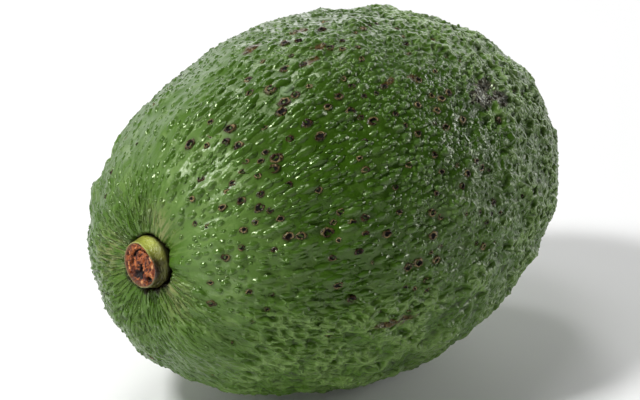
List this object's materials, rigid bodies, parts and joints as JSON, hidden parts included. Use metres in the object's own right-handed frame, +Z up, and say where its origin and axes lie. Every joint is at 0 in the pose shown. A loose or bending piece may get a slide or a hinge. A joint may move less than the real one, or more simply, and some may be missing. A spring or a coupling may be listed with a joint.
{
  "type": "avocado",
  "caption": "Whole avocado with glossy, pebbled green skin, lying on its side, with a short cut stem stub in a shallow basin.",
  "frame": {"origin": "bottom centre of the box round both pieces, on the surface the fruit lies on", "axes": "+X along the fruit's long axis, from the stem end to the blossom end; +Z up; +Y across"},
  "size_m": [0.1036, 0.07, 0.0697],
  "materials": {
    "avocado_skin": "glossy, waxy, pebbled green rind with corky brown spots",
    "stem_wood": "rough, browned cut face with yellow-green bark"
  },
  "bodies": {
    "root": {"fruit": "avocado_skin", "stem_stub": "stem_wood"}
  },
  "joints": []
}
